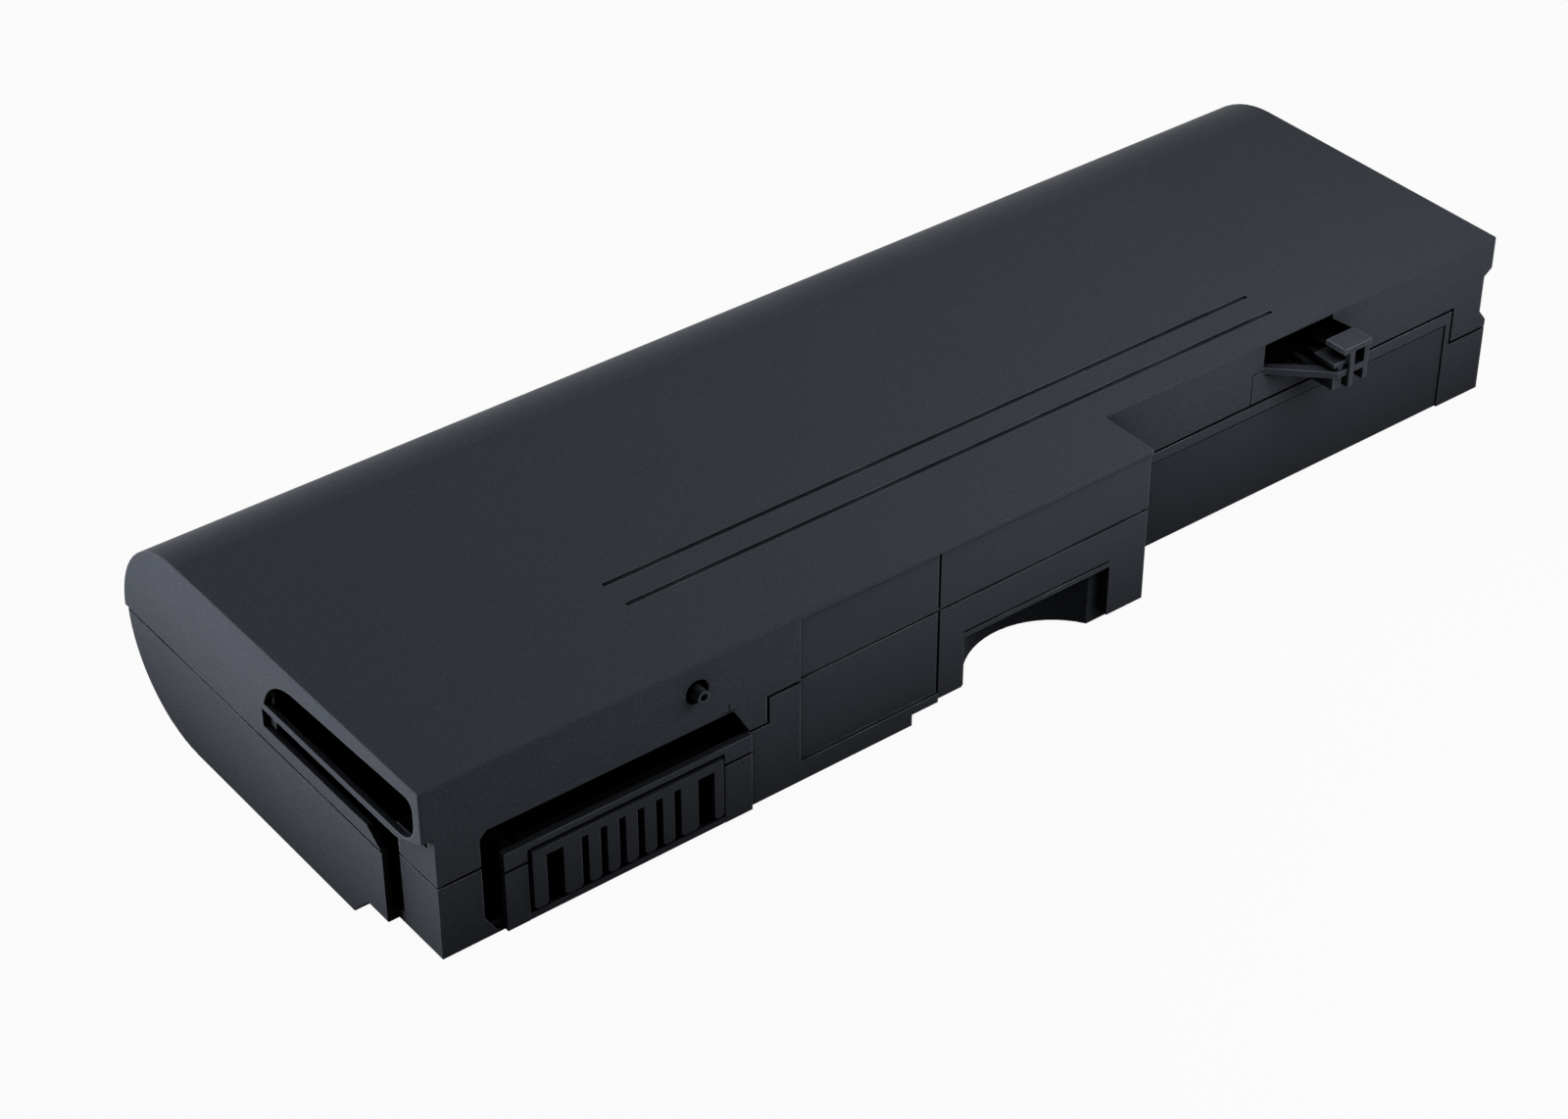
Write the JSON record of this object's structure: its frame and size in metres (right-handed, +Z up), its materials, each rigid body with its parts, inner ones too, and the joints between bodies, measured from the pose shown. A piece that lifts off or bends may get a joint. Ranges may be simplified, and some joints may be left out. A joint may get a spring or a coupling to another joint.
{
  "type": "laptop battery",
  "caption": "Long black battery pack for a small laptop, with a rounded cell hump, a comb connector in a front block, a finger notch, end slots and a fixed catch.",
  "frame": {"origin": "under the middle of the pack, on the flat underside of the cell hump", "axes": "+X along the length, away from the connector end; +Y from the front face with the connector to the rounded rear; +Z up"},
  "size_m": [0.2056, 0.0794, 0.0328],
  "materials": {
    "case_plastic": "fine grained matte black",
    "connector_plastic": "smooth matte black",
    "contact_metal": "gold flashed",
    "label_film": "bare black film",
    "nickel": "bright nickel",
    "cell_sleeve": "shrink sleeve",
    "lead_sleeve": "taped ribbon",
    "foam": "closed cell foam",
    "board": "solder mask",
    "chip_plastic": "moulded"
  },
  "bodies": {
    "root": {"capacitors": "chip_plastic", "cell_1": "cell_sleeve", "cell_2": "cell_sleeve", "cell_3": "cell_sleeve", "cell_4": "cell_sleeve", "cell_5": "cell_sleeve", "cell_6": "cell_sleeve", "cell_7": "cell_sleeve", "cell_8": "cell_sleeve", "cell_strip_1": "nickel", "cell_strip_2": "nickel", "cell_strip_3": "nickel", "cell_strip_4": "nickel", "circuit_board": "board", "connector_block": "connector_plastic", "connector_contacts": "contact_metal", "end_pad_left": "foam", "end_pad_right": "foam", "front_link_strip": "nickel", "front_positive_strip": "nickel", "gauge_chip": "chip_plastic", "lead_0": "lead_sleeve", "lead_1": "lead_sleeve", "lead_2": "lead_sleeve", "lead_3": "lead_sleeve", "lead_4": "lead_sleeve", "lower_case": "case_plastic", "power_transistors": "chip_plastic", "protection_chip": "chip_plastic", "rating_label": "label_film", "sense_resistor": "chip_plastic", "temperature_sensor": "chip_plastic", "thermal_fuse": "chip_plastic", "upper_case": "case_plastic"}
  },
  "joints": []
}
